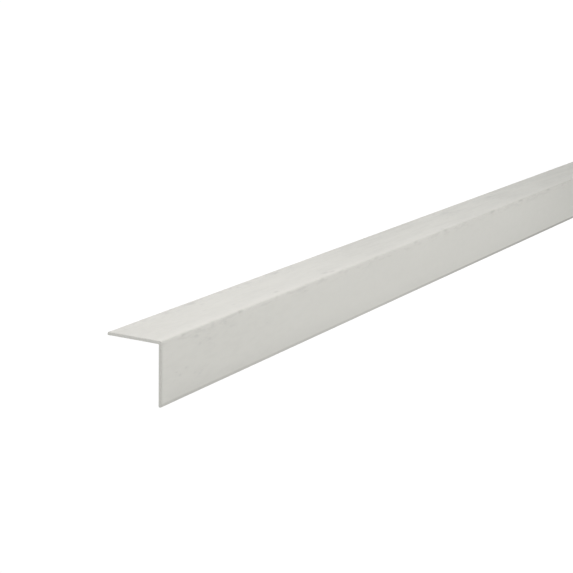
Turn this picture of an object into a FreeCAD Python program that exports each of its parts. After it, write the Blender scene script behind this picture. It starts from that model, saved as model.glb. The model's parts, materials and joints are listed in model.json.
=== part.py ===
"""Corner guard moulding: one extruded length of thin, equal-legged angle with a small round at each edge.

It covers the outside corner of a wall, with a leg on each side. It is stored as it lies by itself on a
level floor, like a roof: the arris between the legs is on top, and both legs stand on their free edges.

Frame, in millimetres: X runs along the stock, Z is up through the arris, and Y crosses the legs. The
origin is on the floor, under the middle of the length. The end that the picture shows is at -X, the leg
that is level in the picture falls towards +Y, and the leg that is upright there falls towards -Y.
"""

import FreeCAD, Part
import os

from FreeCAD import Rotation, Vector
import Sketcher

SIZES = (
    ("stock_length", 1219.2, "length of the stock, 4 ft"),
    ("leg_width", 28.575, "width of each leg over the arris, 1 1/8 in"),
    ("wall", 1.3, "thickness of both legs"),
    ("arris_round", 0.5, "radius of the outside edge between the legs"),
    ("root_round", 0.4, "radius of the inside edge between the legs"),
    ("tip_round", 0.4, "radius of both edges of a leg's tip"),
)
SHEET = "Sizes"
RIGHT_ANGLE = 90


def make_sheet(doc):
    """Writes the driving dimensions into a spreadsheet, one row each, under their aliases."""
    sheet = doc.addObject("Spreadsheet::Sheet", SHEET)
    for row, (alias, value, meaning) in enumerate(SIZES, start=1):
        sheet.set(f"A{row}", meaning)
        sheet.set(f"B{row}", str(value))
        sheet.setAlias(f"B{row}", alias)
    doc.recompute()
    return sheet


def origin_plane(body, role):
    """One of the body's own origin planes, by its role."""
    return next(plane for plane in body.Origin.OriginFeatures if plane.Role == role)


def size(alias):
    """The expression that reads one cell of the sheet."""
    return f"{SHEET}.{alias}"


def draw_section(body, sheet):
    """The angle's section with square edges: its outside corner is at the sketch's origin.

    One leg runs along +x and the other along -y, and both have the same width and the same wall.
    """
    sketch = body.newObject("Sketcher::SketchObject", "Section")
    sketch.AttachmentSupport = (origin_plane(body, "YZ_Plane"), [""])
    sketch.MapMode = "FlatFace"
    leg, wall = sheet.leg_width, sheet.wall
    corners = [(0, 0), (leg, 0), (leg, -wall), (wall, -wall), (wall, -leg), (0, -leg)]
    points = [Vector(x, y, 0) for x, y in corners]
    level_outside, level_tip, level_inside, upright_inside, upright_tip, upright_outside = (
        sketch.addGeometry(Part.LineSegment(start, end), False)
        for start, end in zip(points, points[1:] + points[:1])
    )
    first, last = 1, 2
    lines = len(corners)
    for line in range(lines):
        sketch.addConstraint(Sketcher.Constraint("Coincident", line, last, (line + 1) % lines, first))
    sketch.addConstraint(Sketcher.Constraint("Coincident", level_outside, first, -1, 1))
    for line in (level_outside, level_inside, upright_tip):
        sketch.addConstraint(Sketcher.Constraint("Horizontal", line))
    for line in (level_tip, upright_inside, upright_outside):
        sketch.addConstraint(Sketcher.Constraint("Vertical", line))
    width = Sketcher.Constraint("DistanceX", level_outside, first, level_outside, last, leg)
    thickness = Sketcher.Constraint("DistanceY", level_tip, last, level_tip, first, wall)
    for name, alias, constraint in (
        ("LegWidth", "leg_width", width),
        ("Wall", "wall", thickness),
    ):
        index = sketch.addConstraint(constraint)
        sketch.renameConstraint(index, name)
        sketch.setExpression(f"Constraints.{name}", size(alias))
    sketch.addConstraint(Sketcher.Constraint("Equal", level_outside, upright_outside))
    sketch.addConstraint(Sketcher.Constraint("Equal", level_tip, upright_tip))
    return sketch


def extrude(body, sketch):
    """Pads the section by the stock's length, half to each side of the sketch."""
    pad = body.newObject("PartDesign::Pad", "Stock")
    pad.Profile = sketch
    pad.SideType = "Symmetric"
    pad.setExpression("Length", size("stock_length"))
    sketch.Visibility = False
    return pad


def long_edge(shape, place):
    """Name of the edge that runs along X through the given (y, z) place: both its ends are nearest to it."""
    y, z = place

    def farther_end(edge):
        return max(abs(vertex.Y - y) + abs(vertex.Z - z) for vertex in edge.Vertexes)

    distances = [farther_end(edge) for edge in shape.Edges]
    return f"Edge{distances.index(min(distances)) + 1}"


def round_edges(doc, body, name, alias, places):
    """Rounds the long edges at the given places of the section, all by the same radius."""
    base = body.Tip
    fillet = body.newObject("PartDesign::Fillet", name)
    fillet.Base = (base, [long_edge(base.Shape, place) for place in places])
    fillet.setExpression("Radius", size(alias))
    doc.recompute()
    return fillet


def lay_down(body):
    """Turns the section so that both legs fall away alike from the arris, and sets the tips on the floor.

    The lowest line of each leg is the round on the inside edge of its tip. It lies
    (leg_width + wall) / sqrt(2) under the square outside corner, less what its round takes away.
    """
    body.Placement.Rotation = Rotation(Vector(1, 0, 0), -RIGHT_ANGLE / 2)
    body.setExpression(
        "Placement.Base.z",
        f"({size('leg_width')} + {size('wall')}) / sqrt(2) - {size('tip_round')} * (sqrt(2) - 1)",
    )


def make_corner_guard(doc, sheet):
    """The whole part: the section, its extrusion, and the rounds along its six long edges."""
    body = doc.addObject("PartDesign::Body", "CornerGuard")
    body.Label = "corner_guard"
    extrude(body, draw_section(body, sheet))
    doc.recompute()
    leg, wall = sheet.leg_width, sheet.wall
    arris = [(0, 0)]
    root = [(wall, -wall)]
    tips = [(leg, 0), (leg, -wall), (0, -leg), (wall, -leg)]
    round_edges(doc, body, "ArrisRound", "arris_round", arris)
    round_edges(doc, body, "RootRound", "root_round", root)
    round_edges(doc, body, "TipRounds", "tip_round", tips)
    lay_down(body)
    return body


def check(doc, parts):
    """Stops at any failed object, and at any part whose shape is empty, invalid or not one solid."""
    for item in doc.Objects:
        if "Invalid" in item.State or "Error" in item.State:
            raise RuntimeError(f"{item.Label} failed: {item.State}")
    for part in parts:
        shape = part.Shape
        if shape.isNull() or not shape.isValid() or len(shape.Solids) != 1:
            raise RuntimeError(f"{part.Label} has no valid single solid")


def main():
    doc = FreeCAD.newDocument("corner_guard_moulding")
    parts = [make_corner_guard(doc, make_sheet(doc))]
    doc.recompute()
    check(doc, parts)
    os.makedirs("parts", exist_ok=True)
    for part in parts:
        part.Shape.exportStep(f"parts/{part.Label}.step")
        box = part.Shape.BoundBox
        print(
            f"{part.Label}: volume {part.Shape.Volume:.1f} mm3, "
            f"x {box.XMin:.3f} to {box.XMax:.3f}, y {box.YMin:.3f} to {box.YMax:.3f}, "
            f"z {box.ZMin:.3f} to {box.ZMax:.3f}"
        )


main()
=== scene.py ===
"""Looks of the corner guard moulding: a worn, matte length of off-white plastic angle on a pale floor.

The guard lies like a roof, as in the frame: X runs along the stock, the arris is on top, and each leg
falls to one side. The photograph shows it turned by 45 degrees about X, with one leg level and the other
upright. Here it stays on the floor, and the camera turns instead. The leg that is upright there is the
front leg, and the level one is the back leg.
"""

import json
import math
import random

import bmesh
import bpy
from mathutils import Matrix, Vector, noise


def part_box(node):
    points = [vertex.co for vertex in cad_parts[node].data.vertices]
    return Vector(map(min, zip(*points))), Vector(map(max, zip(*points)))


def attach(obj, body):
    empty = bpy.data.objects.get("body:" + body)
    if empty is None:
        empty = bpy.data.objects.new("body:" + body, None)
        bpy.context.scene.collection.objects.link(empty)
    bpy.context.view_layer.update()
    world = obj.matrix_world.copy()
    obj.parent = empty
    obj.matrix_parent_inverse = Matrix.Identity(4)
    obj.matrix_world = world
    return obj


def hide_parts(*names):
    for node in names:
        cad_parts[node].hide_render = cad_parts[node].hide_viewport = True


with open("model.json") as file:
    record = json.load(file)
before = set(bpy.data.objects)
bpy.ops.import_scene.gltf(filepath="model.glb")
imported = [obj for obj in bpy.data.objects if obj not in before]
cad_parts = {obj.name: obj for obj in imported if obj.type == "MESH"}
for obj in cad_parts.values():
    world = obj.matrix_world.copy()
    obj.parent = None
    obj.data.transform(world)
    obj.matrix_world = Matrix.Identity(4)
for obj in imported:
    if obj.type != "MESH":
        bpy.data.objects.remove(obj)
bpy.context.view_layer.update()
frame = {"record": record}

MM = 0.001
NODE = "corner_guard"
LOW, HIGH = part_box(NODE)
LENGTH = HIGH.x - LOW.x
BASE_COLOUR = frame["record"]["materials"][0]["base_color"]
TILT = math.radians(45)
ROOT_TWO = math.sqrt(2)


def in_metres(rows):
    """Rows of millimetres, as rows of metres."""
    return tuple(tuple(value * MM for value in row) for row in rows)


# The section, from the frame's box and the three rounds
ARRIS_ROUND = 0.5 * MM
ROOT_ROUND = 0.4 * MM
TIP_ROUND = 0.4 * MM
CORNER_HEIGHT = HIGH.z + ARRIS_ROUND * (ROOT_TWO - 1)
LEG = ROOT_TWO * (HIGH.y + TIP_ROUND * (ROOT_TWO - 1))
WALL = ROOT_TWO * (CORNER_HEIGHT - LOW.z + TIP_ROUND * (ROOT_TWO - 1)) - LEG

# Steps around the section: in each round, and as shares of the outside flats from the arris and of the
# inside ones. Edges that turn by more than the last angle look sharp.
ARRIS_STEPS = 8
EDGE_STEPS = 4
OUTSIDE_SHARES = (0.01, 0.025, 0.045, 0.07, 0.12, 0.22, 0.36, 0.52, 0.68, 0.82, 0.93, 0.98)
INSIDE_SHARES = (0.1, 0.5, 0.9)
SHARP_FROM = math.radians(40.5)

# Steps along the stock
STATION_STEP = 2.0 * MM
DENT_STEP = 0.6 * MM
CLOSEST_STATIONS = 0.03 * MM

# Each end is sawn. Its outside edges are rounded, and the mesh has stations at these multiples of the
# round's size. The near end is a little out of square: the arris lies this share of a leg behind the front
# leg's tip.
SAWN_ROUND = 0.2 * MM
SAWN_STATIONS = (0.3, 1, 2, 4)
SLANT = 0.05
SLANT_FADES_OVER = 40 * MM

# How far from the arris its wear reaches, and how deep in the wall a point still counts as outside
WEAR_REACH = 1.3 * MM
OUTSIDE_LAYER = 0.4 * WALL

# Rubbing of the arris: this depth, times an even share plus slow and quick noise along the stock
RUBBED_AWAY = 0.16 * MM
RUBBED_EVENLY = 0.9
SLOW_LENGTH, SLOW_ROW = 15 * MM, 3.1
QUICK_LENGTH, QUICK_ROW, QUICK_SHARE = 5 * MM, 8.7, 0.6

# Dents in the arris that the photograph shows, as (place from the near end, half length, depth) in mm
ARRIS_DENTS = in_metres((
    (16, 2.4, 0.26),
    (38.5, 2.5, 0.18),
    (60.5, 2.8, 0.50),
    (91, 2.4, 0.16),
    (101.5, 3.2, 0.18),
    (133, 2.8, 0.18),
    (151, 4.5, 0.17),
    (189, 3.5, 0.23),
    (235, 3.5, 0.24),
    (273, 4.5, 0.32),
    (340, 5.0, 0.36),
    (384, 5.0, 0.34),
    (431, 5.0, 0.22),
))

# Dents past the photograph's edge, about evenly spread: each lies in this part of its own share of the
# length there, and the last share has none. Their depths are shares of the deepest one.
SHOWN_LENGTH = 480 * MM
DENTS_PAST_THE_PHOTO = 20
PART_OF_SHARE = (0.3, 0.9)
HALF_LENGTHS_IN_MM = (2, 5)
DEEPEST_DENT = 0.5 * MM
DEPTH_SHARES = (0.3, 1.0)
SEED = 7

# Dirt in the dents: most at this distance below the arris
DIRT_BELOW = 0.6 * MM
DIRT_REACH = 1.0 * MM

# Marks on the outside faces, as (place from the near end, distance from the arris, radius) in mm: on the
# front leg the distance counts as negative, and on the back leg as positive. Along the stock they are this
# many times as long as across, and they are at full strength out to this share of their radius.
MARK_STRETCH = 2.0
MARK_CORE = 0.1
SPECKS = in_metres((
    (28.6, -7.5, 1.2),
    (36.2, -7.2, 1.0),
    (18.4, -15.6, 1.0),
    (26.2, -3.6, 1.1),
    (13.9, -17.9, 1.0),
    (11.4, -15.9, 0.7),
    (38.5, -1.9, 1.2),
    (48.0, -2.4, 1.2),
    (23.4, 26.0, 1.6),
    (39.5, 25.6, 2.4),
    (60.3, 21.3, 1.5),
    (82.4, 26.2, 2.0),
    (104.0, 25.6, 2.2),
    (127.5, 25.8, 2.8),
    (51.9, 13.7, 1.2),
    (67.1, 8.4, 1.2),
    (272.5, 2.2, 2.0),
    (316.4, 21.7, 2.8),
    (383.0, 21.9, 2.8),
))
STAINS = in_metres((
    (58.0, 26.0, 2.6),
    (97.3, 4.5, 1.4),
    (142.9, 4.4, 2.0),
    (147.4, 2.9, 1.7),
))
SCUFFS = in_metres((
    (34, -6, 7),
    (50, -4, 6),
    (28, -19.5, 4.5),
    (84, -10.8, 3),
    (112, -3, 5),
    (38, 25, 6),
    (66, 26, 6),
    (96, 26, 6),
    (132, 25, 8),
    (150, 8, 6),
    (318, 20, 16),
    (386, 19, 18),
))
# The last smudge is painted shade: a wide darkening over the far part of the stock.
SMUDGES_AND_FAR_SHADE = in_metres((
    (205, 30, 34),
    (262, 33, 29),
    (505, 5, 72),
))

# Fine relief: its depth on the extruded skin and on the cuts, and how strongly it shows
SKIN_RELIEF = 0.02 * MM
SAW_MARKS = 0.06 * MM
RELIEF_STRENGTH = 0.5

# The photograph's camera: its place, in leg widths from the near end's corner and with one leg level, its
# turns, its lens and sensor in mm, and the nearest and farthest that it sees in metres
CAMERA_PLACE = Vector((-15.290, -11.723, 5.571))
CAMERA_HEADING = math.radians(32.054)
CAMERA_PITCH = math.radians(13.921)
CAMERA_ROLL = math.radians(0.235)
LENS = 86.331
SENSOR = 36
NEAREST_SEEN = 0.01
FARTHEST_SEEN = 200.0

# Soft boxes, as (name, place, place along the stock that it is turned to, side, power)
WARM = (1.045, 1.0, 1.02)
SOFT_BOXES = (
    ("key", (-0.754, 0.230, 0.748), -0.40, 0.35, 4.17),
    ("fill", (-0.245, -0.200, 0.564), -0.40, 0.30, 0.965),
    ("far_fill", (0.450, 0.0, 0.500), 0.75, 0.35, 1.1),
)

# The room: white up to the first of these sines of the angle above the horizon, and dim from the second
WHITE = (1.0, 1.0, 1.0, 1.0)
OVERHEAD = (0.172, 0.194, 0.173, 1.0)
WHITE_UP_TO = 0.12
OVERHEAD_FROM = 0.30

# The floor: half of its width in metres, and its looks
FLOOR_HALF = 60.0
FLOOR_GLOW = 0.965
FLOOR_GREY = (0.08, 0.08, 0.08, 1.0)


# The mesh

def rounded(corner, before, after, radius, steps):
    """Points of the arc that rounds a right-angled corner of the section."""
    back = (before - corner).normalized()
    on = (after - corner).normalized()
    centre = corner + radius * (back + on)
    angles = [math.pi / 2 * step / steps for step in range(steps + 1)]
    return [centre - radius * (on * math.cos(angle) + back * math.sin(angle)) for angle in angles]


def section_ring():
    """The section as a closed ring, from the middle of the arris's round.

    Its points are (s, t): the square outside corner is at the origin, the back leg runs along +s, and the
    front leg along -t.
    """
    corners = (
        ((0, 0), ARRIS_ROUND, ARRIS_STEPS),
        ((LEG, 0), TIP_ROUND, EDGE_STEPS),
        ((LEG, -WALL), TIP_ROUND, EDGE_STEPS),
        ((WALL, -WALL), ROOT_ROUND, EDGE_STEPS),
        ((WALL, -LEG), TIP_ROUND, EDGE_STEPS),
        ((0, -LEG), TIP_ROUND, EDGE_STEPS),
    )
    towards_arris = tuple(1 - share for share in reversed(OUTSIDE_SHARES))
    shares_after = (OUTSIDE_SHARES, (), INSIDE_SHARES, INSIDE_SHARES, (), towards_arris)
    places = [Vector(place) for place, _, _ in corners]
    arcs = []
    for index, (_, radius, steps) in enumerate(corners):
        after = places[(index + 1) % len(places)]
        arcs.append(rounded(places[index], places[index - 1], after, radius, steps))
    ring = []
    for index, arc in enumerate(arcs):
        start = arcs[(index + 1) % len(arcs)][0]
        ring += arc
        ring += [arc[-1].lerp(start, share) for share in shares_after[index]]
    middle = ARRIS_STEPS // 2
    return ring[middle:] + ring[:middle]


def all_dents():
    """The arris's dents that the photograph shows, and more like them on the stock past its edge."""
    dice = random.Random(SEED)
    dents = list(ARRIS_DENTS)
    for number in range(DENTS_PAST_THE_PHOTO):
        share = (number + dice.uniform(*PART_OF_SHARE)) / (DENTS_PAST_THE_PHOTO + 1)
        place = SHOWN_LENGTH + (LENGTH - SHOWN_LENGTH) * share
        half_length = dice.uniform(*HALF_LENGTHS_IN_MM) * MM
        depth = dice.uniform(*DEPTH_SHARES) * DEEPEST_DENT
        dents.append((place, half_length, depth))
    return dents


def stations(dents):
    """Places along X from the near end to the far end, closer together at the ends and in each dent."""
    count = round(LENGTH / STATION_STEP)
    places = [LENGTH * step / count for step in range(count)]
    for share in SAWN_STATIONS:
        places += [share * SAWN_ROUND, LENGTH - share * SAWN_ROUND]
    for middle, half_length, _ in dents:
        steps = math.ceil(half_length / DENT_STEP)
        places += [middle + half_length * step / steps for step in range(-steps, steps + 1)]
    kept = []
    for place in sorted(places):
        if not kept or place - kept[-1] > CLOSEST_STATIONS:
            kept.append(place)
    return [*kept, LENGTH]


def dent_depth(place, dents):
    """Depth of the deepest dent at this place along the stock."""
    depth = 0.0
    for middle, half_length, deepest in dents:
        away = abs(place - middle) / half_length
        if away < 1:
            depth = max(depth, deepest * (1 - away * away) ** 2)
    return depth


def rubbed_depth(place):
    """How far handling has worn the arris down, which changes slowly along the stock."""
    slow = noise.noise(Vector((place / SLOW_LENGTH, SLOW_ROW, 0)))
    quick = noise.noise(Vector((place / QUICK_LENGTH, QUICK_ROW, 0)))
    return RUBBED_AWAY * max(0.0, RUBBED_EVENLY + slow + QUICK_SHARE * quick)


def sawn_depth(place):
    """How far the outside edge beside a sawn end is rounded back at this place."""
    inward = 1 - min(place, LENGTH - place) / SAWN_ROUND
    return SAWN_ROUND * (1 - math.sqrt(1 - max(0.0, inward) ** 2))


def dent_dirt(point, dent):
    """How dirty the skin is in a dent here: most just under the arris, on the front leg."""
    s, t = point
    below = max(0.0, -t)
    reach = 1 - abs(below - DIRT_BELOW) / DIRT_REACH if s < DIRT_BELOW else 0.0
    return max(0.0, reach) * dent / DEEPEST_DENT


def wall_middle(point):
    """The nearest point on the line that runs half way through the section's wall."""
    s, t = point
    middle = WALL / 2
    if s > -t:
        return Vector((min(max(s, middle), LEG - middle), -middle))
    return Vector((middle, max(min(t, -middle), middle - LEG)))


def worn(point, worn_down, sawn_back):
    """The section's point after wear on the arris and the rounding at a sawn end."""
    s, t = point
    outside = s < OUTSIDE_LAYER or t > -OUTSIDE_LAYER
    if not outside:
        return point
    closeness = max(0.0, 1 - (abs(s) + abs(t)) / WEAR_REACH)
    share = closeness * closeness * (3 - 2 * closeness)
    moved = point + Vector((1, -1)).normalized() * worn_down * share
    return moved + (wall_middle(point) - moved).normalized() * sawn_back


def in_frame(place, point):
    """The frame's coordinates of a section point at this place along the stock."""
    s, t = point
    behind = SLANT * min(LEG, LEG + t) * max(0.0, 1 - place / SLANT_FADES_OVER)
    return (LOW.x + place + behind, (s + t) / ROOT_TWO, (t - s) / ROOT_TWO + CORNER_HEIGHT)


def guard_mesh():
    """The guard's skin: rings of points from end to end, and a flat sawn face on each end."""
    ring = section_ring()
    around = len(ring)
    dents = all_dents()
    places = stations(dents)
    points, dirt = [], []
    for place in places:
        dent = dent_depth(place, dents)
        depth = dent + rubbed_depth(place)
        for point in ring:
            moved = worn(point, depth, sawn_depth(place))
            points.append(in_frame(place, moved))
            dirt.append(dent_dirt(point, dent))
    skin = []
    for row in range(len(places) - 1):
        for column in range(around):
            first = row * around + column
            second = row * around + (column + 1) % around
            skin.append((first, first + around, second + around, second))
    near_cap = tuple(range(around))
    far_cap = tuple(reversed(range(len(points) - around, len(points))))
    mesh = bpy.data.meshes.new("worn_angle")
    mesh.from_pydata(points, [], [*skin, near_cap, far_cap])
    mesh.attributes.new("dent_dirt", "FLOAT", "POINT").data.foreach_set("value", dirt)
    sawn = list(range(2 * around)) + list(range(len(skin) - 2 * around, len(skin) + 2))
    for index in sawn:
        mesh.polygons[index].material_index = 1
    divide_caps(mesh)
    mesh.shade_smooth()
    mesh.set_sharp_from_angle(angle=SHARP_FROM)
    return mesh


def divide_caps(mesh):
    """Cuts the two sawn faces, the last two of the mesh, into even triangles."""
    work = bmesh.new()
    work.from_mesh(mesh)
    work.faces.ensure_lookup_table()
    bmesh.ops.triangulate(work, faces=work.faces[-2:], ngon_method="BEAUTY")
    work.to_mesh(mesh)
    work.free()


# The materials

class Painter:
    """Builds one material's nodes, a short call for each."""

    def __init__(self, name):
        self.material = bpy.data.materials.new(name)
        self.material.use_nodes = True
        self.tree = self.material.node_tree
        self.tree.nodes.clear()

    def node(self, kind, inputs, **settings):
        """A node with its settings and inputs: a socket is linked, and any other value is written in."""
        made = self.tree.nodes.new(kind)
        for name, value in settings.items():
            setattr(made, name, value)
        for name, value in inputs.items():
            if isinstance(value, bpy.types.NodeSocket):
                self.tree.links.new(value, made.inputs[name])
            else:
                made.inputs[name].default_value = value
        return made

    def noise(self, place, per_metre, detail=2.0):
        """Soft noise about a half, with this many light and dark places to a metre."""
        inputs = {"Vector": place, "Scale": per_metre, "Detail": detail}
        return self.node("ShaderNodeTexNoise", inputs).outputs["Fac"]

    def scaled(self, place, scale):
        return self.node("ShaderNodeMapping", {"Vector": place, "Scale": scale}).outputs["Vector"]

    def drawn_out(self, place, share):
        """The place, shortened to this share along the stock, which draws noise out that way."""
        return self.scaled(place, (share, 1.0, 1.0))

    def ramp(self, value, start, end, low=0.0, high=1.0):
        """Goes smoothly from low to high while the value goes from start to end."""
        limits = {"Value": value, "From Min": start, "From Max": end, "To Min": low, "To Max": high}
        made = self.node("ShaderNodeMapRange", limits, interpolation_type="SMOOTHSTEP")
        return made.outputs["Result"]

    def maths(self, operation, *values):
        return self.node("ShaderNodeMath", dict(enumerate(values)), operation=operation).outputs[0]

    def product(self, first, *others):
        for other in others:
            first = self.maths("MULTIPLY", first, other)
        return first

    def tinted(self, colour, mask, tint):
        """The colour, multiplied by the tint where the mask is 1."""
        inputs = {0: mask, 6: colour, 7: (*tint, 1.0)}
        made = self.node("ShaderNodeMix", inputs, data_type="RGBA", blend_type="MULTIPLY")
        return made.outputs[2]

    def toned(self, colour, mask, tone):
        """The colour, lighter or darker by one number where the mask is 1."""
        return self.tinted(colour, mask, (tone, tone, tone))

    def shaken(self, place, noise_node, width):
        """The place, moved about by up to half of this width each way."""
        centred = {0: noise_node.outputs["Color"], 1: (0.5, 0.5, 0.5)}
        either_way = self.node("ShaderNodeVectorMath", centred, operation="SUBTRACT").outputs["Vector"]
        moved = {0: either_way, 1: (width, width, 0.0), 2: place}
        return self.node("ShaderNodeVectorMath", moved, operation="MULTIPLY_ADD").outputs["Vector"]

    def spots(self, unrolled, marks):
        """A mask of soft marks, each (place from the near end, signed distance from the arris, radius)."""
        mask = 0.0
        for along, down, radius in marks:
            centre = {0: unrolled, 1: ((LOW.x + along) / MARK_STRETCH, down, 0.0)}
            distance = self.node("ShaderNodeVectorMath", centre, operation="DISTANCE").outputs["Value"]
            mask = self.maths("MAXIMUM", self.ramp(distance, radius, MARK_CORE * radius), mask)
        return mask

    def finish(self, colour, roughness, height, depth):
        """Ends in a plain plastic surface with a fine relief, this deep."""
        bump = {"Strength": RELIEF_STRENGTH, "Distance": depth, "Height": height}
        relief = self.node("ShaderNodeBump", bump)
        inputs = {"Base Color": colour, "Roughness": roughness, "Normal": relief.outputs["Normal"]}
        surface = self.node("ShaderNodeBsdfPrincipled", inputs)
        self.node("ShaderNodeOutputMaterial", {"Surface": surface.outputs["BSDF"]})
        return self.material


class Skin:
    """Where a point of the outside faces lies, as sockets that the white plastic's looks share."""

    def __init__(self, paint):
        self.place = paint.node("ShaderNodeTexCoord", {}).outputs["Object"]
        parts = paint.node("ShaderNodeSeparateXYZ", {"Vector": self.place}).outputs
        self.along = parts["X"]
        self.down = paint.maths("MULTIPLY", parts["Y"], ROOT_TWO)
        self.depth = paint.maths("ABSOLUTE", self.down)
        self.on_front = paint.ramp(self.down, start=0.1 * MM, end=-0.1 * MM)
        self.on_back = paint.ramp(self.down, start=-0.1 * MM, end=0.1 * MM)
        flat = {"X": paint.maths("DIVIDE", self.along, MARK_STRETCH), "Y": self.down}
        self.unrolled = paint.node("ShaderNodeCombineXYZ", flat).outputs["Vector"]
        wobble = paint.node("ShaderNodeTexNoise", {"Vector": self.place, "Scale": 500.0})
        self.ragged = paint.shaken(self.unrolled, wobble, width=1.0 * MM)
        self.wiped = paint.drawn_out(self.place, 0.3)
        self.flecks = paint.ramp(paint.noise(self.wiped, 800.0, detail=3.0), start=0.52, end=0.66)


def white_plastic():
    """Warm off-white extruded plastic: matte, faintly streaked along its length, a little worn, and with
    painted light, shade and a highlight.
    """
    paint = Painter("white_plastic")
    skin = Skin(paint)
    colour = extruded_tone(paint, skin)
    colour = arris_highlight_and_wear(paint, skin, colour)
    colour = edge_grime_and_shade(paint, skin, colour)
    colour = marks_of_use_and_far_shade(paint, skin, colour)
    gloss = paint.noise(skin.place, 380.0)
    roughness = paint.ramp(gloss, start=0.3, end=0.7, low=0.50, high=0.62)
    die_lines = paint.noise(paint.drawn_out(skin.place, 0.06), 700.0)
    relief = paint.maths("ADD", paint.noise(skin.place, 1500.0), die_lines)
    return paint.finish(colour, roughness, relief, SKIN_RELIEF)


def extruded_tone(paint, skin):
    """The plastic's colour: soft clouds, painted light on the near part, mottling most near the cut, and
    streaks on the back leg.
    """
    clouds = paint.ramp(paint.noise(skin.wiped, 60.0, detail=3.0), start=0.35, end=0.65)
    colour = paint.toned((*BASE_COLOUR, 1.0), clouds, 0.985)
    colour = paint.toned(colour, paint.product(clouds, skin.on_back), 0.985)
    # Painted light: the near part of the stock is a little lighter, and the handling mottle below lies
    # over the same part.
    near_light_and_handling = paint.ramp(skin.along, start=LOW.x + 50 * MM, end=LOW.x + 160 * MM, low=1.0, high=0.35)
    colour = paint.toned(colour, near_light_and_handling, 1.004)
    mottling = paint.ramp(paint.noise(skin.wiped, 420.0, detail=3.0), start=0.42, end=0.66)
    colour = paint.toned(colour, paint.product(mottling, near_light_and_handling), 0.980)
    streaks = paint.noise(paint.drawn_out(skin.place, 0.16), 270.0, detail=4.0)
    on_back_leg = paint.ramp(skin.down, start=0.0, end=9 * MM)
    far_share = paint.ramp(skin.along, start=LOW.x + 50 * MM, end=LOW.x + 300 * MM, low=0.4, high=1.0)
    streaked = paint.product(on_back_leg, far_share)
    return paint.toned(colour, paint.product(paint.ramp(streaks, start=0.44, end=0.62), streaked), 0.96)


def arris_highlight_and_wear(paint, skin, colour):
    """A painted highlight band on the back leg beside the arris, dashes under it on the front, and dirty
    dents.
    """
    # Painted highlight: a lighter band on the back leg, beside the arris.
    inner = paint.ramp(skin.depth, start=0.3 * MM, end=1.5 * MM)
    outer = paint.ramp(skin.depth, start=5.0 * MM, end=2.2 * MM)
    colour = paint.toned(colour, paint.product(outer, inner, skin.on_back), 1.022)
    dashes = paint.noise(paint.drawn_out(skin.place, 0.2), 600.0)
    under_arris = paint.ramp(skin.depth, start=5.5 * MM, end=1.5 * MM)
    dashed = paint.product(paint.ramp(dashes, start=0.50, end=0.62), under_arris, skin.on_front)
    colour = paint.toned(colour, dashed, 0.945)
    dirt = paint.node("ShaderNodeAttribute", {}, attribute_name="dent_dirt").outputs["Fac"]
    return paint.tinted(colour, dirt, (0.72, 0.72, 0.71))


def edge_grime_and_shade(paint, skin, colour):
    """Painted shade low on the front leg, a dark line at its tip that is grime and painted shade, flecks
    at the back leg's edge, and painted shade at the cut.
    """
    # Painted shade: darker low on the front leg, most towards the near end and less right at the cut.
    low_down = paint.ramp(skin.depth, start=0.65 * LEG, end=0.97 * LEG)
    near_share = paint.ramp(skin.along, start=LOW.x, end=LOW.x + 300 * MM, low=1.0, high=0.45)
    past_cut = paint.ramp(skin.along, start=LOW.x, end=LOW.x + 12 * MM, low=0.3, high=1.0)
    shade = paint.product(low_down, skin.on_front, near_share, past_cut)
    colour = paint.toned(colour, shade, 0.935)
    # A dark line at the front leg's tip: grime and painted shade.
    line_top = paint.ramp(skin.depth, start=LEG - 1.9 * MM, end=LEG - 0.9 * MM)
    line_foot = paint.ramp(skin.depth, start=LEG, end=LEG - 0.8 * MM, low=0.7, high=1.0)
    far_share = paint.ramp(skin.along, start=LOW.x + 100 * MM, end=LOW.x + 450 * MM, low=0.4, high=1.0)
    line = paint.product(line_top, line_foot, skin.on_front, far_share)
    colour = paint.tinted(colour, line, (0.60, 0.60, 0.59))
    near_edge = paint.ramp(skin.depth, start=0.7 * LEG, end=0.95 * LEG)
    colour = paint.tinted(colour, paint.product(skin.flecks, near_edge, skin.on_back), (0.93, 0.93, 0.94))
    # Painted shade on the front leg just past the near cut.
    cut = LOW.x + SLANT * LEG
    from_cut = paint.maths("ADD", skin.along, paint.maths("MULTIPLY", skin.depth, SLANT))
    at_cut = paint.ramp(from_cut, start=cut + 1.8 * MM, end=cut)
    return paint.toned(colour, paint.product(at_cut, skin.on_front), 0.88)


def marks_of_use_and_far_shade(paint, skin, colour):
    """Scuffs with flecks in them, small specks, darker stains, wide faint smudges, and a wide painted
    shade over the far part.
    """
    scuffs = paint.spots(skin.ragged, SCUFFS)
    colour = paint.toned(colour, scuffs, 0.985)
    colour = paint.tinted(colour, paint.product(scuffs, skin.flecks), (0.95, 0.95, 0.96))
    colour = paint.tinted(colour, paint.spots(skin.ragged, SPECKS), (0.93, 0.93, 0.935))
    colour = paint.tinted(colour, paint.spots(skin.ragged, STAINS), (0.87, 0.87, 0.875))
    # The smudges, of which the last is painted shade over the far part.
    return paint.toned(colour, paint.spots(skin.unrolled, SMUDGES_AND_FAR_SHADE), 0.95)


def sawn_plastic():
    """The cut at each end: rougher, and greyer partly as painted shade, with fine saw marks across it."""
    paint = Painter("sawn_plastic")
    place = paint.node("ShaderNodeTexCoord", {}).outputs["Object"]
    marks = paint.noise(paint.scaled(place, (1.0, 1.0, 6.0)), 500.0)
    # Greyer than the skin, partly as painted shade on the cut.
    grey = tuple(0.82 * channel for channel in BASE_COLOUR)
    colour = paint.toned((*grey, 1.0), paint.ramp(marks, start=0.35, end=0.65), 0.92)
    return paint.finish(colour, roughness=0.8, height=marks, depth=SAW_MARKS)


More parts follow.
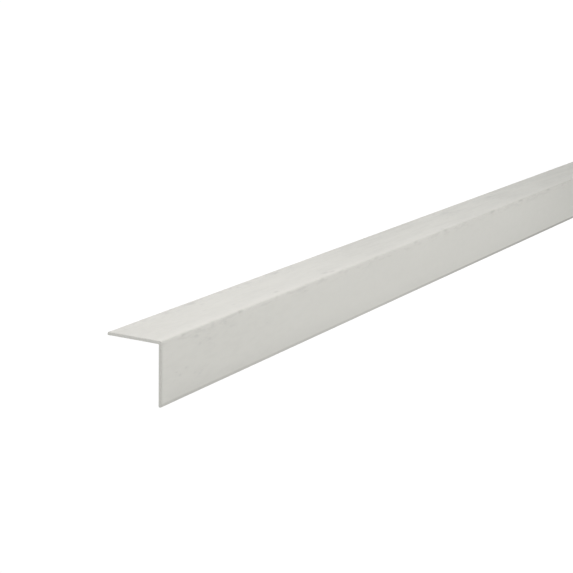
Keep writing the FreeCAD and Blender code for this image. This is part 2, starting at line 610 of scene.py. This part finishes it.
def pale_floor():
    """Lit from within, so that it reads as the photograph's white ground."""
    paint = Painter("pale_floor")
    glow = {"Emission Color": WHITE, "Emission Strength": FLOOR_GLOW}
    plain = {"Base Color": FLOOR_GREY, "Roughness": 0.9, "Specular IOR Level": 0.0}
    surface = paint.node("ShaderNodeBsdfPrincipled", {**plain, **glow})
    paint.node("ShaderNodeOutputMaterial", {"Surface": surface.outputs["BSDF"]})
    return paint.material


# The scene

def add_object(name, data):
    made = bpy.data.objects.new(name, data)
    bpy.context.scene.collection.objects.link(made)
    return made


def add_guard():
    """The one piece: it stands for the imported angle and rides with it."""
    mesh = guard_mesh()
    mesh.materials.append(white_plastic())
    mesh.materials.append(sawn_plastic())
    guard = add_object("worn_guard", mesh)
    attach(guard, "root")
    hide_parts(NODE)


def add_floor():
    """A plain floor under both leg tips, out to the horizon."""
    far = FLOOR_HALF
    corners = [(-far, -far, LOW.z), (far, -far, LOW.z), (far, far, LOW.z), (-far, far, LOW.z)]
    mesh = bpy.data.meshes.new("floor")
    mesh.from_pydata(corners, [], [(0, 1, 2, 3)])
    mesh.materials.append(pale_floor())
    add_object("floor", mesh)


def add_soft_box(name, place, lit, size, power):
    """A square soft box above the guard, turned to the place along the stock that it lights."""
    data = bpy.data.lights.new(name, "AREA")
    data.size = size
    data.energy = power
    data.color = WARM
    box = add_object(name, data)
    box.location = place
    towards = Vector((lit, 0.0, 0.0)) - box.location
    box.rotation_euler = towards.to_track_quat("-Z", "Y").to_euler()


def add_room():
    """Even light from all round: dim overhead, and white in a low band, so that low views stay white."""
    world = bpy.data.worlds.new("room")
    world.use_nodes = True
    nodes, links = world.node_tree.nodes, world.node_tree.links
    direction = nodes.new("ShaderNodeTexCoord")
    parts = nodes.new("ShaderNodeSeparateXYZ")
    rise = nodes.new("ShaderNodeValToRGB")
    rise.color_ramp.interpolation = "EASE"
    low_band, overhead = rise.color_ramp.elements
    low_band.position, overhead.position = WHITE_UP_TO, OVERHEAD_FROM
    low_band.color, overhead.color = WHITE, OVERHEAD
    links.new(direction.outputs["Generated"], parts.inputs["Vector"])
    links.new(parts.outputs["Z"], rise.inputs["Fac"])
    links.new(rise.outputs["Color"], nodes["Background"].inputs["Color"])
    bpy.context.scene.world = world


def add_camera():
    """The photograph's camera, carried along as the guard turns from its pose there to the floor."""
    data = bpy.data.cameras.new("camera")
    data.sensor_width = SENSOR
    data.lens = LENS
    data.clip_start = NEAREST_SEEN
    data.clip_end = FARTHEST_SEEN
    camera = add_object("camera", data)
    looks_along_x = Matrix(((0, 0, -1), (-1, 0, 0), (0, 1, 0)))
    heading = Matrix.Rotation(CAMERA_HEADING, 3, "Z")
    pitch = Matrix.Rotation(CAMERA_PITCH, 3, "Y")
    roll = Matrix.Rotation(CAMERA_ROLL, 3, "X")
    to_roof = Matrix.Rotation(-TILT, 3, "X")
    corner = Vector((LOW.x + SLANT * LEG, 0, CORNER_HEIGHT))
    place = corner + to_roof @ (CAMERA_PLACE * LEG)
    facing = to_roof @ heading @ pitch @ roll @ looks_along_x
    camera.matrix_world = Matrix.Translation(place) @ facing.to_4x4()
    bpy.context.scene.camera = camera


def main():
    add_guard()
    add_floor()
    for soft_box in SOFT_BOXES:
        add_soft_box(*soft_box)
    add_room()
    add_camera()
    bpy.context.scene.view_settings.view_transform = "Standard"


main()
